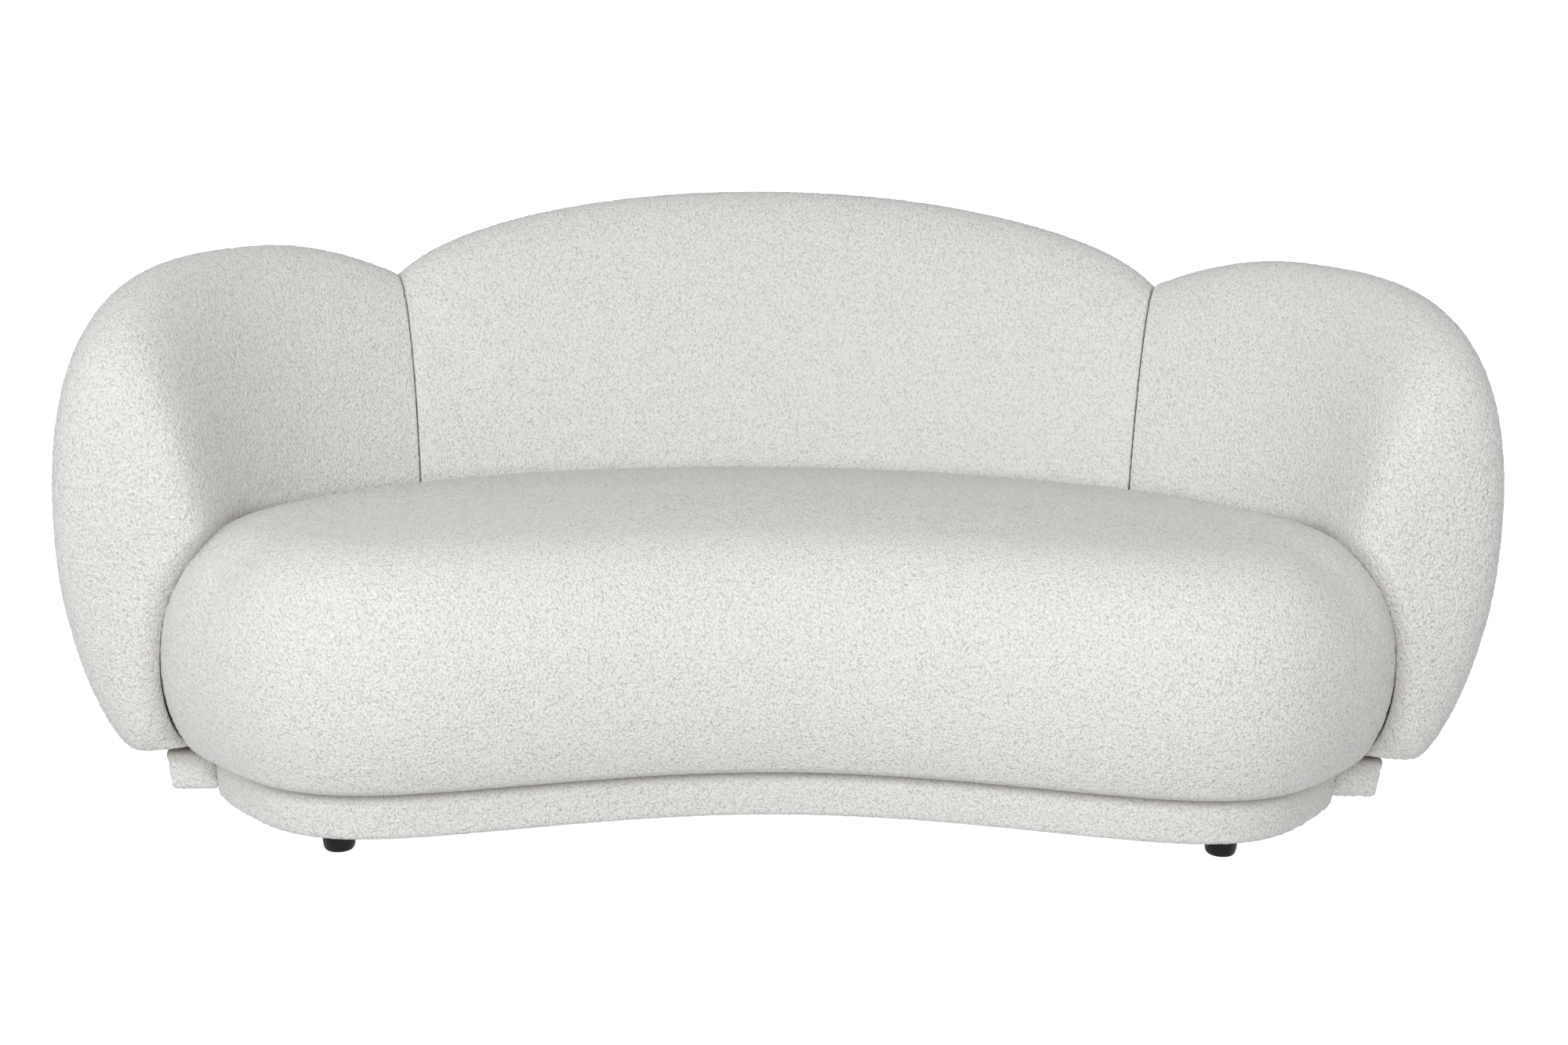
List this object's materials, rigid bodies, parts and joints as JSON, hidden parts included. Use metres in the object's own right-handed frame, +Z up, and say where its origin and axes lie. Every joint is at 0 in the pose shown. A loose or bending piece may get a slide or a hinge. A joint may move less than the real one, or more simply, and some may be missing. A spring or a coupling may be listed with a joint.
{
  "type": "curved sofa",
  "caption": "Curved upholstered sofa: a kidney-shaped seat on a plinth, wrapped by a lobed back whose wings turn forward as arms, on low round feet.",
  "frame": {"origin": "on the floor, under the middle of the sofa's overall box", "axes": "X to the right seen from the front, -Y to the front where a person sits down, Z up"},
  "size_m": [2.1212, 0.9988, 0.879],
  "materials": {
    "boucle_fabric": "off-white boucle with a deep looped nap",
    "foam": "cut polyurethane upholstery foam",
    "felt": "pressed fibre felt",
    "timber": "planed softwood, unfinished",
    "plywood": "sanded plywood, unfinished",
    "dust_cloth": "black non-woven dust cloth",
    "steel": "zinc-plated and drawn steel",
    "foot_plastic": "black moulded plastic, satin"
  },
  "bodies": {
    "root": {"seat_cover": "boucle_fabric", "seat_plinth_cover": "boucle_fabric", "back_plinth_cover": "boucle_fabric", "center_back_cover": "boucle_fabric", "left_wing_cover": "boucle_fabric", "right_wing_cover": "boucle_fabric", "seat_foam": "foam", "center_back_foam": "foam", "left_wing_foam": "foam", "right_wing_foam": "foam", "seat_spring_pad": "felt", "seat_right_rail": "timber", "seat_rear_rail": "timber", "seat_left_rail": "timber", "seat_front_rail": "timber", "seat_left_brace": "timber", "seat_right_brace": "timber", "seat_plinth_rear_rail": "timber", "seat_plinth_front_rail": "timber", "back_plinth_beam": "timber", "center_back_left_post": "timber", "center_back_right_post": "timber", "left_wing_post": "timber", "right_wing_post": "timber", "seat_plinth_top_board": "plywood", "seat_plinth_bottom_board": "plywood", "center_back_panel": "plywood", "center_back_base": "plywood", "left_wing_panel": "plywood", "left_wing_base": "plywood", "right_wing_panel": "plywood", "right_wing_base": "plywood", "seat_dust_cover": "dust_cloth", "seat_spring_1": "steel", "seat_spring_2": "steel", "seat_spring_3": "steel", "seat_spring_4": "steel", "seat_spring_5": "steel", "seat_spring_6": "steel", "seat_spring_7": "steel", "left_seam_upper_bolt": "steel", "left_seam_lower_bolt": "steel", "right_seam_upper_bolt": "steel", "right_seam_lower_bolt": "steel", "center_back_left_base_bolt": "steel", "center_back_right_base_bolt": "steel", "left_wing_base_bolt": "steel", "right_wing_base_bolt": "steel", "seat_front_left_bolt": "steel", "seat_front_right_bolt": "steel", "seat_rear_left_bolt": "steel", "seat_rear_right_bolt": "steel", "left_joining_bolt": "steel", "right_joining_bolt": "steel", "front_left_foot": "foot_plastic", "front_right_foot": "foot_plastic", "middle_foot": "foot_plastic", "rear_foot": "foot_plastic", "left_side_foot": "foot_plastic", "right_side_foot": "foot_plastic"}
  },
  "joints": []
}
